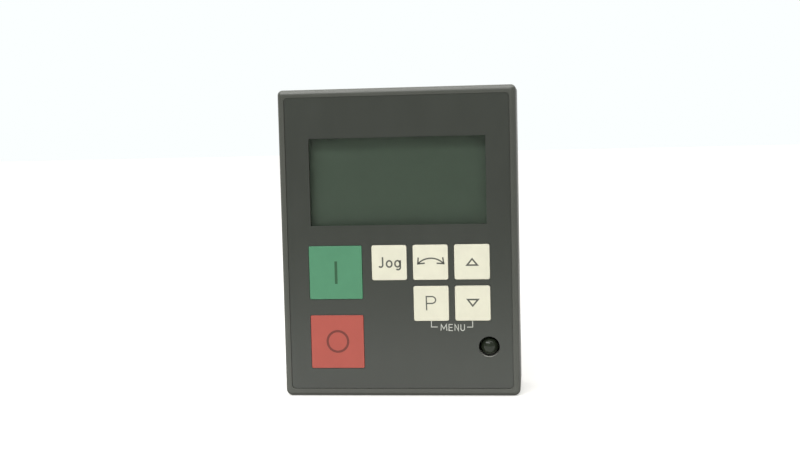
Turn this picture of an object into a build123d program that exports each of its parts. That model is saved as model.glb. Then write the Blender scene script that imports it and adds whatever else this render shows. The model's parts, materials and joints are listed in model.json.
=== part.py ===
from build123d import *
import math
import os

# Plug-in operator panel of a variable frequency drive: display, seven keys and a status lamp.
# X runs across the panel, Y from its face to its back, Z up. The panel stands on z = 0.
# All sizes are in millimetres.

# ---------------------------------------------------------------- driving dimensions
PANEL_W = 73.0
PANEL_H = 95.0
HOUSING_D = 24.0  # face rim to back face
BACK_REACH = 5.0  # how far the hooks and screw posts stand out of the back face
WALL = 2.0
MID_Z = PANEL_H / 2

TOP_CORNER_R = 1.5
BOTTOM_CORNER_R = 2.0
FACE_EDGE_R = 1.6
BACK_EDGE_R = 1.5
INNER_CORNER_R = 1.0
POCKET_CORNER_R = 1.2

# The face: a foil in a shallow pocket, with a narrow gap round it.
POCKET_W = 69.0
POCKET_H = 90.3
POCKET_D = 0.45
FOIL_GAP = 0.2
FOIL_TOP_GAP = 0.03  # the foil is laid against the pocket's top edge
FOIL_T = 0.3
FACE_PLATE_T = 2.0

# The display window.
WINDOW_W = 54.2
WINDOW_H = 26.8
WINDOW_Z = 66.55
PANE_MARGIN = 2.1
PANE_T = 1.2
PANE_GAP = 0.15
THROAT_MARGIN = 0.5  # how much wider than the foil's window the throat behind it is, all round
THROAT_WALL = 1.0

# Keys: two large ones on the left, and small ones on a half-inch grid.
LARGE_KEY = 16.5
SMALL_KEY = 10.8
KEY_PITCH = 12.7
LARGE_KEY_X = -19.7
RUN_Z = 38.65
STOP_Z = 17.1
GRID_X = -3.0
GRID_Z = 41.55
LARGE_KEY_R = 0.45
SMALL_KEY_R = 0.65
KEY_PROUD = 0.12
KEY_GAP = 0.12
KEY_TRAVEL = 0.3
KEY_FLANGE = 0.75
KEY_FLANGE_T = 0.9
KEY_EDGE_R = 0.15
KEY_POST_R = 2.4

# The status lamp.
LAMP_X = 27.2
LAMP_Z = 15.3
LAMP_HOLE_R = 3.2
LAMP_COLLAR_REACH = 2.5
LAMP_R = 2.85
LAMP_RIM_R = 3.15
LAMP_RIM_T = 1.0
LAMP_LEN = 8.6
LAMP_PROUD = 0.4  # from the pocket's floor to the tip of the dome
LAMP_LEAD_W = 0.5
LAMP_LEAD_PITCH = 2.54

# The two halves of the housing.
FRONT_D = 12.0
PARTING_GAP = 0.3
TONGUE_T = 0.9
TONGUE_D = 1.7
REBATE_T = 1.0
RIB_T = 1.2
BACK_RIB_T = 1.0
BACK_RIB_H = 1.4
BACK_RIB_ZS = (15.0, 28.5, 46.0)
BACK_RIB_X = 27.0
BACK_RIB_LOW_Z = 10.0
BACK_RIB_HIGH_Z = 85.0
LABEL_W = 44.0
LABEL_H = 20.0
LABEL_Z = 31.0
LABEL_RECESS = 0.3
LABEL_T = 0.15

# Boards and what stands between them.
BOARD_T = 1.6
MAIN_BOARD_DEPTH = 13.0
MAIN_BOARD_W = 66.5
MAIN_BOARD_H = 88.0
LCD_DEPTH = 4.0
LCD_BOARD_DEPTH = 9.2
LCD_BOARD_W = 66.0
LCD_BOARD_H = 36.5
LCD_FRAME_W = 57.6
LCD_FRAME_H = 33.2
LCD_SHEET = 0.4
LCD_VIEW_W = 55.4
LCD_VIEW_H = 28.0
LCD_GLASS_W = 56.6
LCD_GLASS_H = 29.0
LCD_REAR_GLASS_H = 31.6
LCD_PANE_T = 1.1
BLOB_T = 1.3
HEADER_PITCH = 2.54
HEADER_PINS = 16
HEADER_PIN_W = 0.64
PIN_HOLE_R = 0.5

# Screws: (x, z) of each, as distances from the panel's centre line and its foot.
CASE_SCREW_X = 31.0
CASE_SCREW_ZS = (5.5, PANEL_H - 5.5)
BOARD_SCREW_X = 31.4
BOARD_SCREW_Z = 28.5
LCD_SCREW_X = 31.2
LCD_SCREW_DZ = 15.75
CASE_SCREW_R = 1.45
BOARD_SCREW_R = 1.25
LCD_SCREW_R = 1.0
PILOT_SHARE = 0.84  # of the screw's outer radius
SCREW_CLEARANCE = 0.15
CASE_BOSS_R = 3.0
BOARD_BOSS_R = 2.2
LCD_BOSS_R = 2.1
CASE_TUBE_R = 4.0
CASE_HEAD_R = 2.7
CASE_COUNTERBORE_R = 3.0
CASE_COUNTERBORE_D = 5.5

# The drive connector: a nine-way socket in a D-shaped shell.
PLUG_Z = 60.0
PLUG_SHELL_W = 16.3
PLUG_SHELL_H = 7.9
PLUG_FLANGE_W = 30.8
PLUG_FLANGE_H = 12.5
PLUG_SHELL_REACH = 5.9
PLUG_SLANT = 10.0
CONTACT_PITCH = 2.77
CONTACT_ROW_DZ = 1.42
JACK_SPACING = 24.99
JACK_ACROSS_FLATS = 4.8
JACK_STUD_R = 1.4
JACK_HOLE_R = 1.2
JACK_ROOM = 0.35
CONTACT_R = 0.85
CONTACT_BORE_R = 0.55
CONTACT_TAIL_R = 0.35
SHELL_T = 0.4
FLANGE_T = 0.5

# The catch at the top of the back, and the two hooks at its foot.
CATCH_TRAVEL = 2.5
CATCH_W = 14.0
CATCH_T = 3.0
CATCH_TOP_Z = PANEL_H - 0.4
CATCH_FOOT_Z = 76.0
CATCH_HOOK_W = 8.0
CATCH_HOOK_Z = 84.0
HOOK_T = 2.5
HOOK_LIP = 2.2
HOOK_REACH = 4.5
HOOK_W = 8.0
HOOK_X = 22.0
HOOK_Z = 7.5
SLIDE_GAP = 0.2
SPRING_FOOT_Z = 68.5
SPRING_R = 1.3
SPRING_WIRE_R = 0.2
SPRING_PEG_R = 0.95
SPRING_TURNS = 6
GUIDE_T = 1.8
GUIDE_LOW_Z = 72.0
GUIDE_HIGH_Z = 88.0

# Tactile switches.
SWITCH_W = 6.0
SWITCH_H = 3.2
SWITCH_STEM_TIP = 7.0  # height of the stem's tip over the board
SWITCH_STEM_R = 1.7
SWITCH_FOOT_R = 2.1
SWITCH_FLOOR = 1.5  # height of the dome's seat over the board
SWITCH_LEG_DZ = 2.25
SWITCH_LEG_W = 0.7
DOME_R = 2.0
DOME_SHEET = 0.1
DOME_RISE = KEY_TRAVEL + 0.45  # a pressed dome keeps some of its height

# Depths of the main planes, as Y values.
FACE_Y = -(HOUSING_D + BACK_REACH) / 2
FOIL_Y = FACE_Y + POCKET_D - FOIL_T
POCKET_Y = FACE_Y + POCKET_D
PLATE_BACK_Y = POCKET_Y + FACE_PLATE_T
PARTING_Y = FACE_Y + FRONT_D
BACK_Y = FACE_Y + HOUSING_D
BACK_INNER_Y = BACK_Y - WALL
CASE_SEAT_Y = BACK_Y - CASE_COUNTERBORE_D
CATCH_Y = BACK_INNER_Y - SLIDE_GAP - CATCH_T
BOARD_Y = FACE_Y + MAIN_BOARD_DEPTH
BOARD_BACK_Y = BOARD_Y + BOARD_T
LCD_Y = FACE_Y + LCD_DEPTH
LCD_BOARD_Y = FACE_Y + LCD_BOARD_DEPTH
LCD_BOARD_BACK_Y = LCD_BOARD_Y + BOARD_T

KEYS = {
    "run": (LARGE_KEY_X, RUN_Z, LARGE_KEY, LARGE_KEY_R),
    "stop": (LARGE_KEY_X, STOP_Z, LARGE_KEY, LARGE_KEY_R),
    "jog": (GRID_X, GRID_Z, SMALL_KEY, SMALL_KEY_R),
    "reverse": (GRID_X + KEY_PITCH, GRID_Z, SMALL_KEY, SMALL_KEY_R),
    "up": (GRID_X + 2 * KEY_PITCH, GRID_Z, SMALL_KEY, SMALL_KEY_R),
    "program": (GRID_X + KEY_PITCH, GRID_Z - KEY_PITCH, SMALL_KEY, SMALL_KEY_R),
    "down": (GRID_X + 2 * KEY_PITCH, GRID_Z - KEY_PITCH, SMALL_KEY, SMALL_KEY_R),
}
CASE_SCREWS = [(s * CASE_SCREW_X, z) for s in (-1, 1) for z in CASE_SCREW_ZS]
BOARD_SCREWS = [(s * BOARD_SCREW_X, BOARD_SCREW_Z) for s in (-1, 1)]
LCD_SCREWS = [(s * LCD_SCREW_X, WINDOW_Z + t * LCD_SCREW_DZ) for s in (-1, 1) for t in (-1, 1)]
JACKS = [(s * JACK_SPACING / 2, PLUG_Z) for s in (-1, 1)]


# ---------------------------------------------------------------- helpers
def slab(outline, y0, y1):
    """A flat outline in X and Z, given depth from y0 to y1."""
    return extrude(Plane.XZ.offset(-y0) * outline, amount=y0 - y1)


def rounded(width, height, radius, x=0.0, z=MID_Z):
    return Pos(x, z) * RectangleRounded(width, height, radius)


def rod(x, z, radius, y0, y1):
    return slab(Pos(x, z) * Circle(radius), y0, y1)


def block(x0, x1, y0, y1, z0, z1):
    return Pos((x0 + x1) / 2, (y0 + y1) / 2, (z0 + z1) / 2) * Box(x1 - x0, y1 - y0, z1 - z0)


def block_at(x, z, width, height, y0, y1):
    return block(x - width / 2, x + width / 2, y0, y1, z - height / 2, z + height / 2)


def edges_at(part, y):
    """The edges of a part that lie in the plane of one depth."""
    near = [e for e in part.edges() if abs(e.bounding_box().min.Y - y) < 1e-3]
    return [e for e in near if abs(e.bounding_box().max.Y - y) < 1e-3]


def turned(points, x, z):
    """A solid of revolution round an axis along Y; points are (radius, y)."""
    outline = make_face(Polyline([(r, y) for r, y in points], close=True))
    return Pos(x, 0, z) * revolve(outline, axis=Axis.Y)


def group(solids):
    """Separate solids that share one node."""
    return Compound(children=[s for one in solids for s in one.solids()])


def panel_outline(inset=0.0):
    """The housing's outline: rounder at its foot than at its top."""
    half_w = PANEL_W / 2 - inset
    low, high = inset, PANEL_H - inset
    square = make_face(
        Polyline([(-half_w, low), (half_w, low), (half_w, high), (-half_w, high)], close=True)
    )
    foot = fillet(square.vertices().sort_by(Axis.Y)[:2], BOTTOM_CORNER_R - inset / 2)
    return fillet(foot.vertices().sort_by(Axis.Y)[-2:], TOP_CORNER_R - inset / 2)


def key_outline(name, grow=0.0, round_more=0.0):
    x, z, size, radius = KEYS[name]
    return rounded(size + 2 * grow, size + 2 * grow, radius + round_more, x, z)


def d_outline(grow=0.0):
    """The connector's D shape, its longer side up."""
    half_w = PLUG_SHELL_W / 2 + grow
    half_h = PLUG_SHELL_H / 2 + grow
    foot_w = half_w - 2 * half_h * math.tan(math.radians(PLUG_SLANT))
    corners = [(-half_w, half_h), (half_w, half_h), (foot_w, -half_h), (-foot_w, -half_h)]
    outline = make_face(Polyline(corners, close=True))
    return Pos(0, PLUG_Z) * fillet(outline.vertices(), 2.2 + grow)


def screw(x, z, head_y, length, thread_r, head_r, head_t, pitch):
    """A pan-head self-tapping screw that points at the face, with its head's seat at head_y."""
    core_r = thread_r * 0.76
    turns = int((length - 2 * pitch) / pitch)
    profile = [(0, head_y + head_t), (head_r * 0.72, head_y + head_t)]
    profile += [(head_r, head_y + head_t * 0.45), (head_r, head_y), (core_r, head_y)]
    for turn in range(turns):
        crest_y = head_y - pitch * (turn + 1)
        profile += [(core_r, crest_y + pitch * 0.35), (thread_r, crest_y)]
        profile += [(core_r, crest_y - pitch * 0.35)]
    profile += [(0, head_y - length)]
    body = turned(profile, x, z)
    slot = head_r * 1.15
    for width, height in ((slot, slot * 0.28), (slot * 0.28, slot)):
        body -= block_at(x, z, width, height, head_y + head_t * 0.35, head_y + head_t + 1)
    return body


# ---------------------------------------------------------------- housing
def front_housing():
    body = slab(panel_outline(), FACE_Y, PARTING_Y)
    body = fillet(edges_at(body, FACE_Y), FACE_EDGE_R)
    body -= slab(rounded(POCKET_W, POCKET_H, POCKET_CORNER_R), FACE_Y - 1, POCKET_Y)
    inner_w, inner_h = PANEL_W - 2 * WALL, PANEL_H - 2 * WALL
    body -= slab(rounded(inner_w, inner_h, INNER_CORNER_R), PLATE_BACK_Y, PARTING_Y)
    rebate = rounded(inner_w + 2 * REBATE_T, inner_h + 2 * REBATE_T, INNER_CORNER_R)
    body -= slab(rebate, PARTING_Y - TONGUE_D + PARTING_GAP, PARTING_Y)

    # Bosses, each with a rib to the wall beside it, stand on the plate behind the face.
    bosses = [(x, z, CASE_BOSS_R, BOARD_Y, PARTING_Y - 2) for x, z in CASE_SCREWS]
    bosses += [(x, z, BOARD_BOSS_R, BOARD_Y, PARTING_Y - 2) for x, z in BOARD_SCREWS]
    bosses += [(x, z, LCD_BOSS_R, LCD_BOARD_Y, LCD_BOARD_Y - 1) for x, z in LCD_SCREWS]
    for x, z, radius, top_y, rib_y in bosses:
        near, far = sorted((x, math.copysign(PANEL_W / 2 - WALL, x)))
        body += rod(x, z, radius, PLATE_BACK_Y, top_y)
        body += block(near, far, PLATE_BACK_Y, rib_y, z - RIB_T / 2, z + RIB_T / 2)

    # The lamp's light collar.
    collar_y = PLATE_BACK_Y + LAMP_COLLAR_REACH
    body += rod(LAMP_X, LAMP_Z, LAMP_HOLE_R + 1.0, PLATE_BACK_Y - 0.1, collar_y)
    body -= rod(LAMP_X, LAMP_Z, LAMP_HOLE_R, FACE_Y, collar_y)

    # The window: a rebate for the pane, then a throat whose wall reaches to the display's frame.
    pane_w, pane_h = WINDOW_W + 2 * PANE_MARGIN, WINDOW_H + 2 * PANE_MARGIN
    throat_w, throat_h = WINDOW_W + 2 * THROAT_MARGIN, WINDOW_H + 2 * THROAT_MARGIN
    wall = rounded(throat_w + 2 * THROAT_WALL, throat_h + 2 * THROAT_WALL, 1.0, 0, WINDOW_Z)
    body += slab(wall, PLATE_BACK_Y - 0.1, LCD_Y - 0.1)
    body -= slab(rounded(pane_w, pane_h, 1.0, 0, WINDOW_Z), FACE_Y, POCKET_Y + PANE_T)
    body -= slab(rounded(throat_w, throat_h, 0.5, 0, WINDOW_Z), FACE_Y, LCD_Y)

    for name in KEYS:
        body -= slab(key_outline(name, 2 * KEY_GAP, KEY_GAP), FACE_Y, PLATE_BACK_Y)

    for x, z in CASE_SCREWS:
        body -= rod(x, z, CASE_SCREW_R * PILOT_SHARE, POCKET_Y + 3.2, BOARD_Y)
    for x, z in BOARD_SCREWS:
        body -= rod(x, z, BOARD_SCREW_R * PILOT_SHARE, POCKET_Y + 4, BOARD_Y)
    for x, z in LCD_SCREWS:
        body -= rod(x, z, LCD_SCREW_R * PILOT_SHARE, PLATE_BACK_Y, LCD_BOARD_Y)
    return body


def rear_cover():
    top_y = PARTING_Y + PARTING_GAP
    body = slab(panel_outline(), top_y, BACK_Y)
    body = fillet(edges_at(body, BACK_Y), BACK_EDGE_R)
    inner_w, inner_h = PANEL_W - 2 * WALL, PANEL_H - 2 * WALL
    tongue = rounded(inner_w + 2 * TONGUE_T, inner_h + 2 * TONGUE_T, INNER_CORNER_R)
    body += slab(tongue, top_y - TONGUE_D, top_y + 0.5)
    body -= slab(rounded(inner_w, inner_h, INNER_CORNER_R), top_y - TONGUE_D, BACK_INNER_Y)

    # Stiffening ribs on the inside of the back.
    rib_y = BACK_INNER_Y - BACK_RIB_H
    for z in BACK_RIB_ZS:
        body += block_at(0, z, PANEL_W - 2, BACK_RIB_T, rib_y, BACK_INNER_Y)
    rib_z, rib_len = (BACK_RIB_LOW_Z + BACK_RIB_HIGH_Z) / 2, BACK_RIB_HIGH_Z - BACK_RIB_LOW_Z
    for x in (-BACK_RIB_X, BACK_RIB_X):
        body += block_at(x, rib_z, BACK_RIB_T, rib_len, rib_y, BACK_INNER_Y)

    # Tubes for the case screws reach to just short of the board.
    for x, z in CASE_SCREWS:
        tube = rod(x, z, CASE_TUBE_R, BOARD_BACK_Y + 0.1, BACK_Y - 1)
        body += tube & slab(panel_outline(0.5), top_y - TONGUE_D, BACK_Y)
    for x, z in CASE_SCREWS:
        body -= rod(x, z, CASE_SCREW_R + SCREW_CLEARANCE, BOARD_BACK_Y, BACK_Y)
        body -= rod(x, z, CASE_COUNTERBORE_R, CASE_SEAT_Y, BACK_Y + 1)

    # The catch's guides, the ledge under its spring, and its slot and notch.
    guide_x = CATCH_W / 2 + SLIDE_GAP
    for side in (-1, 1):
        wall = sorted((side * guide_x, side * (guide_x + GUIDE_T)))
        lip = sorted((side * (guide_x - 1.2), side * (guide_x + GUIDE_T)))
        body += block(*wall, CATCH_Y - SLIDE_GAP, BACK_INNER_Y, GUIDE_LOW_Z, GUIDE_HIGH_Z)
        body += block(*lip, CATCH_Y - 1.2, CATCH_Y - SLIDE_GAP, GUIDE_LOW_Z, GUIDE_HIGH_Z)
    spring_y = CATCH_Y + CATCH_T / 2
    body += block(-5, 5, spring_y - 2.5, BACK_INNER_Y, SPRING_FOOT_Z - 1.6, SPRING_FOOT_Z)
    body += Pos(0, spring_y, SPRING_FOOT_Z + 0.7) * Cylinder(SPRING_PEG_R, 1.4)
    slot_low = CATCH_HOOK_Z - CATCH_TRAVEL - 0.3
    slot_high = CATCH_HOOK_Z + HOOK_T + HOOK_LIP + 0.4
    half_slot = CATCH_HOOK_W / 2 + 0.4
    body -= block(-half_slot, half_slot, BACK_INNER_Y - 0.1, BACK_Y + 1, slot_low, slot_high)
    notch = CATCH_W / 2 + 0.3
    body -= block(-notch, notch, BOARD_BACK_Y + 0.9, BACK_INNER_Y, PANEL_H - WALL - 0.1, PANEL_H + 1)

    # The connector's cut-out, and room round its two hexagonal screws.
    body -= slab(d_outline(0.5), BACK_INNER_Y - 1, BACK_Y + 1)
    for x, z in JACKS:
        body -= rod(x, z, JACK_ACROSS_FLATS / math.sqrt(3) + JACK_ROOM, BACK_INNER_Y - 1, BACK_Y + 1)

    # Two hooks that point down, each over a window in the back wall.
    tip_y = BACK_Y + HOOK_REACH
    for x in (-HOOK_X, HOOK_X):
        x0, x1 = x - HOOK_W / 2, x + HOOK_W / 2
        profile = make_face(
            Polyline(
                [
                    (BACK_Y - 1, HOOK_Z),
                    (BACK_Y - 1, HOOK_Z + HOOK_T),
                    (tip_y - 1.0, HOOK_Z + HOOK_T),
                    (tip_y, HOOK_Z + HOOK_T - 1.0),
                    (tip_y, HOOK_Z - HOOK_LIP + 1.2),
                    (tip_y - 1.0, HOOK_Z - HOOK_LIP),
                    (tip_y - 2.0, HOOK_Z - HOOK_LIP),
                    (tip_y - 2.0, HOOK_Z),
                ],
                close=True,
            )
        )
        body += Pos(x0, 0, 0) * extrude(Plane.YZ * profile, amount=HOOK_W)
        body -= block(x0, x1, BACK_INNER_Y - 1, BACK_Y + 0.01, HOOK_Z - HOOK_LIP - 0.6, HOOK_Z)

    # A shallow recess for the label.
    recess = rounded(LABEL_W + 0.4, LABEL_H + 0.4, 1.0, 0, LABEL_Z)
    return body - slab(recess, BACK_Y - LABEL_RECESS, BACK_Y + 1)


def rating_label():
    label_y = BACK_Y - LABEL_RECESS
    return slab(rounded(LABEL_W, LABEL_H, 0.8, 0, LABEL_Z), label_y, label_y + LABEL_T)


# ---------------------------------------------------------------- face
def overlay_foil():
    width, height = POCKET_W - 2 * FOIL_GAP, POCKET_H - FOIL_GAP - FOIL_TOP_GAP
    foil = rounded(width, height, 1.0, 0, MID_Z + (FOIL_GAP - FOIL_TOP_GAP) / 2)
    body = slab(foil, FOIL_Y, POCKET_Y)
    body -= slab(Pos(0, WINDOW_Z) * Rectangle(WINDOW_W, WINDOW_H), FACE_Y, POCKET_Y + 1)
    for name in KEYS:
        body -= slab(key_outline(name, KEY_GAP, KEY_GAP), FACE_Y, POCKET_Y + 1)
    return body - rod(LAMP_X, LAMP_Z, LAMP_HOLE_R + 0.05, FACE_Y, POCKET_Y + 1)


def display_window():
    width = WINDOW_W + 2 * PANE_MARGIN - 2 * PANE_GAP
    height = WINDOW_H + 2 * PANE_MARGIN - 2 * PANE_GAP
    return slab(rounded(width, height, 0.9, 0, WINDOW_Z), POCKET_Y, POCKET_Y + PANE_T)


# ---------------------------------------------------------------- keys and their switches
def key_cap(name):
    """A cap with a retaining flange behind the plate and a post towards its switch."""
    x, z, size, _ = KEYS[name]
    cap_y = FOIL_Y - KEY_PROUD
    cap = slab(key_outline(name), cap_y, PLATE_BACK_Y + 0.1)
    cap = fillet(edges_at(cap, cap_y), KEY_EDGE_R)
    flange_y = PLATE_BACK_Y + 0.1
    cap += slab(key_outline(name, KEY_FLANGE - 0.05), flange_y, flange_y + KEY_FLANGE_T)
    hollow = size - 3.2
    cap -= block_at(x, z, hollow, hollow, cap_y + 1.5, flange_y + KEY_FLANGE_T)
    cap += rod(x, z, KEY_POST_R, cap_y + 1.4, BOARD_Y - SWITCH_STEM_TIP - 0.05)
    for width, height in ((hollow + 0.2, 0.8), (0.8, hollow + 0.2)):
        cap += block_at(x, z, width, height, cap_y + 1.4, flange_y + KEY_FLANGE_T)
    return cap


def switch_stem(name):
    """The switch's own stem, with a foot that keeps it under the cover."""
    x, z, _, _ = KEYS[name]
    cover_y = BOARD_Y - SWITCH_H
    foot = rod(x, z, SWITCH_FOOT_R, cover_y + 0.35, cover_y + 0.9)
    stem = rod(x, z, SWITCH_STEM_R, BOARD_Y - SWITCH_STEM_TIP, cover_y + 0.36)
    return stem + foot


def switch_base(x, z):
    base = block_at(x, z, SWITCH_W, SWITCH_W, BOARD_Y - SWITCH_H + 0.3, BOARD_Y)
    base = chamfer(base.edges().filter_by(Axis.Y), 0.4)
    return base - rod(x, z, SWITCH_FOOT_R + 0.2, BOARD_Y - SWITCH_H, BOARD_Y - SWITCH_FLOOR)


def switch_cover(x, z):
    cover_y = BOARD_Y - SWITCH_H
    cover = block_at(x, z, SWITCH_W - 0.1, SWITCH_W - 0.1, cover_y, cover_y + 0.3)
    return cover - rod(x, z, SWITCH_STEM_R + 0.1, cover_y - 1, cover_y + 1)


def switch_dome(x, z):
    """A thin sprung dome under the stem's foot."""
    floor_y = BOARD_Y - SWITCH_FLOOR
    ball_r = (DOME_R**2 + DOME_RISE**2) / (2 * DOME_RISE)
    centre_y = floor_y - DOME_RISE + ball_r
    ball = Pos(x, centre_y, z) * (Sphere(ball_r) - Sphere(ball_r - DOME_SHEET))
    return ball & rod(x, z, DOME_R + 1, floor_y - DOME_RISE - 1, floor_y)


def switch_terminals(x, z):
    """Four legs that leave the base's sides and pass through the board."""
    legs = []
    inner, knee, outer = SWITCH_W / 2, SWITCH_W / 2 + 0.35, SWITCH_W / 2 + 0.65
    for side in (-1, 1):
        run_x, run_w = x + side * (inner + outer) / 2, outer - inner
        drop_x, drop_w = x + side * (knee + outer) / 2, outer - knee
        for leg_z in (z - SWITCH_LEG_DZ, z + SWITCH_LEG_DZ):
            leg = block_at(run_x, leg_z, run_w, SWITCH_LEG_W, BOARD_Y - 0.9, BOARD_Y - 0.6)
            leg += block_at(drop_x, leg_z, drop_w, SWITCH_LEG_W, BOARD_Y - 0.9, BOARD_BACK_Y + 0.9)
            legs.append(leg)
    return legs


# ---------------------------------------------------------------- display module
def lcd_tabs():
    """Places of the frame's twist tabs: (x, z), along its long sides."""
    half_h = (LCD_FRAME_H - LCD_SHEET) / 2
    return [(x, WINDOW_Z + s * half_h) for x in (-24.0, 24.0) for s in (-1, 1)]


def lcd_frame():
    body = block_at(0, WINDOW_Z, LCD_FRAME_W, LCD_FRAME_H, LCD_Y, LCD_BOARD_Y)
    body = fillet(body.edges().filter_by(Axis.Y), 0.8)
    inside_w, inside_h = LCD_FRAME_W - 2 * LCD_SHEET, LCD_FRAME_H - 2 * LCD_SHEET
    body -= block_at(0, WINDOW_Z, inside_w, inside_h, LCD_Y + LCD_SHEET, LCD_BOARD_Y)
    body -= block_at(0, WINDOW_Z, LCD_VIEW_W, LCD_VIEW_H, LCD_Y - 1, LCD_Y + 1)
    for x, z in lcd_tabs():
        body += block_at(x, z, 2.0, LCD_SHEET, LCD_BOARD_Y - 1, LCD_BOARD_BACK_Y + 0.4)
        body += block_at(x, z, 1.0, LCD_SHEET, LCD_BOARD_BACK_Y + 0.4, LCD_BOARD_BACK_Y + 1.0)
    return body


def lcd_polarizer():
    y0 = LCD_Y + LCD_SHEET + 0.02
    return block_at(0, WINDOW_Z, LCD_VIEW_W + 0.8, LCD_VIEW_H + 0.8, y0, y0 + 0.25)


def lcd_glass():
    """Two panes, the rear one longer so that its contact edges show to the strips."""
    y0 = LCD_Y + LCD_SHEET + 0.28
    y1 = y0 + LCD_PANE_T
    front = block_at(0, WINDOW_Z, LCD_GLASS_W, LCD_GLASS_H, y0, y1)
    return front + block_at(0, WINDOW_Z, LCD_GLASS_W, LCD_REAR_GLASS_H, y1, y1 + LCD_PANE_T)


def lcd_backlight():
    y0 = LCD_Y + LCD_SHEET + 2.55
    light = block_at(0, WINDOW_Z, 55.0, 26.0, y0, LCD_BOARD_Y - 0.05)
    return chamfer(light.edges().filter_by(Axis.Y), 0.5)


def lcd_contact_strips():
    y0 = LCD_Y + LCD_SHEET + 2.5
    return group(
        block_at(0, WINDOW_Z + s * 14.5, 52.0, 2.0, y0, LCD_BOARD_Y) for s in (-1, 1)
    )


def header_pin_xs():
    return [HEADER_PITCH * (i - (HEADER_PINS - 1) / 2) for i in range(HEADER_PINS)]


HEADER_Z = WINDOW_Z + 17.15


def lcd_board():
    body = slab(rounded(LCD_BOARD_W, LCD_BOARD_H, 0.5, 0, WINDOW_Z), LCD_BOARD_Y, LCD_BOARD_BACK_Y)
    for x, z in LCD_SCREWS:
        body -= rod(x, z, LCD_SCREW_R + SCREW_CLEARANCE, LCD_BOARD_Y, LCD_BOARD_BACK_Y)
    for x, z in lcd_tabs():
        body -= block_at(x, z, 2.4, LCD_SHEET + 0.4, LCD_BOARD_Y, LCD_BOARD_BACK_Y)
    for x in header_pin_xs():
        body -= rod(x, HEADER_Z, PIN_HOLE_R, LCD_BOARD_Y, LCD_BOARD_BACK_Y)
    return body


def lcd_driver_blobs():
    """Two chips under drops of black resin, on the back of the display's board."""
    drops = []
    crown_y = LCD_BOARD_BACK_Y + BLOB_T
    for x in (-15.0, 15.0):
        drop = slab(Pos(x, WINDOW_Z - 2) * Ellipse(6.5, 5.5), LCD_BOARD_BACK_Y, crown_y)
        drops.append(fillet(edges_at(drop, crown_y), 1.1))
    return group(drops)


def display_header():
    body = block_at(0, HEADER_Z, HEADER_PINS * HEADER_PITCH, 2.4, LCD_BOARD_BACK_Y, BOARD_Y)
    hole = HEADER_PIN_W + 0.02
    for x in header_pin_xs():
        body -= block_at(x, HEADER_Z, hole, hole, LCD_BOARD_BACK_Y - 1, BOARD_Y + 1)
    return body


def display_header_pins():
    pins = []
    for x in header_pin_xs():
        pin = block_at(x, HEADER_Z, HEADER_PIN_W, HEADER_PIN_W, LCD_BOARD_Y - 0.6, BOARD_BACK_Y + 1.2)
        pins.append(chamfer(edges_at(pin, BOARD_BACK_Y + 1.2), 0.15))
    return group(pins)


# ---------------------------------------------------------------- main board
LAMP_LEADS = [(LAMP_X + s * LAMP_LEAD_PITCH / 2, LAMP_Z) for s in (-1, 1)]


def contact_places():
    """Nine contacts: five in the upper row and four between them in the lower row."""
    upper = [(CONTACT_PITCH * (i - 2), PLUG_Z + CONTACT_ROW_DZ) for i in range(5)]
    lower = [(CONTACT_PITCH * (i - 1.5), PLUG_Z - CONTACT_ROW_DZ) for i in range(4)]
    return upper + lower


def main_board():
    body = slab(rounded(MAIN_BOARD_W, MAIN_BOARD_H, 1.0), BOARD_Y, BOARD_BACK_Y)
    holes = [(x, z, CASE_SCREW_R + SCREW_CLEARANCE) for x, z in CASE_SCREWS]
    holes += [(x, z, BOARD_SCREW_R + SCREW_CLEARANCE) for x, z in BOARD_SCREWS]
    holes += [(x, z, JACK_STUD_R + 0.1) for x, z in JACKS]
    holes += [(x, HEADER_Z, PIN_HOLE_R) for x in header_pin_xs()]
    holes += [(x, z, CONTACT_TAIL_R + 0.1) for x, z in contact_places() + LAMP_LEADS]
    for key_x, key_z, _, _ in KEYS.values():
        for side in (-1, 1):
            leg_x = key_x + side * (SWITCH_W / 2 + 0.5)
            holes += [(leg_x, key_z + t * SWITCH_LEG_DZ, PIN_HOLE_R) for t in (-1, 1)]
    for x, z, radius in holes:
        body -= rod(x, z, radius, BOARD_Y, BOARD_BACK_Y)
    return body


def chip(x, z, width, height, thick):
    """A moulded chip body on the back of the main board, standing 0.15 mm off it."""
    y0 = BOARD_BACK_Y + 0.15
    body = chamfer(block_at(x, z, width, height, y0, y0 + thick).edges().filter_by(Axis.Y), 0.3)
    mark_x, mark_z = x - width / 2 + 1.2, z + height / 2 - 1.2
    return body - rod(mark_x, mark_z, 0.45, y0 + thick - 0.15, y0 + thick + 1)


def leads(x, z, half_span, count, pitch, thick, vertical):
    """Rows of flat gull-wing leads down two opposite sides of a chip."""
    made = []
    y_foot, y_top = BOARD_BACK_Y + 0.02, BOARD_BACK_Y + 0.15 + thick / 2
    for side in (-1, 1):
        for i in range(count):
            along = pitch * (i - (count - 1) / 2)
            inner, knee, outer = half_span, half_span + 0.35, half_span + 1.0
            parts = [(inner, knee, y_top - 0.1, y_top + 0.1), (knee - 0.2, knee, y_foot, y_top + 0.1)]
            parts.append((knee - 0.2, outer, y_foot, y_foot + 0.2))
            lead = None
            for near, far, y0, y1 in parts:
                a, b = sorted((side * near, side * far))
                if vertical:
                    piece = block(x + along - 0.2, x + along + 0.2, y0, y1, z + a, z + b)
                else:
                    piece = block(x + a, x + b, y0, y1, z + along - 0.2, z + along + 0.2)
                lead = piece if lead is None else lead + piece
            made.append(lead)
    return made


CONTROLLER = (-9.0, 27.0, 14.0, 2.4)  # x, z, side, thickness
MEMORY = (13.0, 19.8, 13.0, 9.0, 2.2)  # x, z, width, height, thickness
TRANSCEIVERS = [(14.0, 49.0), (22.0, 49.0)]
TRANSCEIVER_SIZE = (4.0, 8.0, 1.6)
CRYSTAL = (-9.0, 47.3)
REGULATOR = (-23.5, 45.2)


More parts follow.
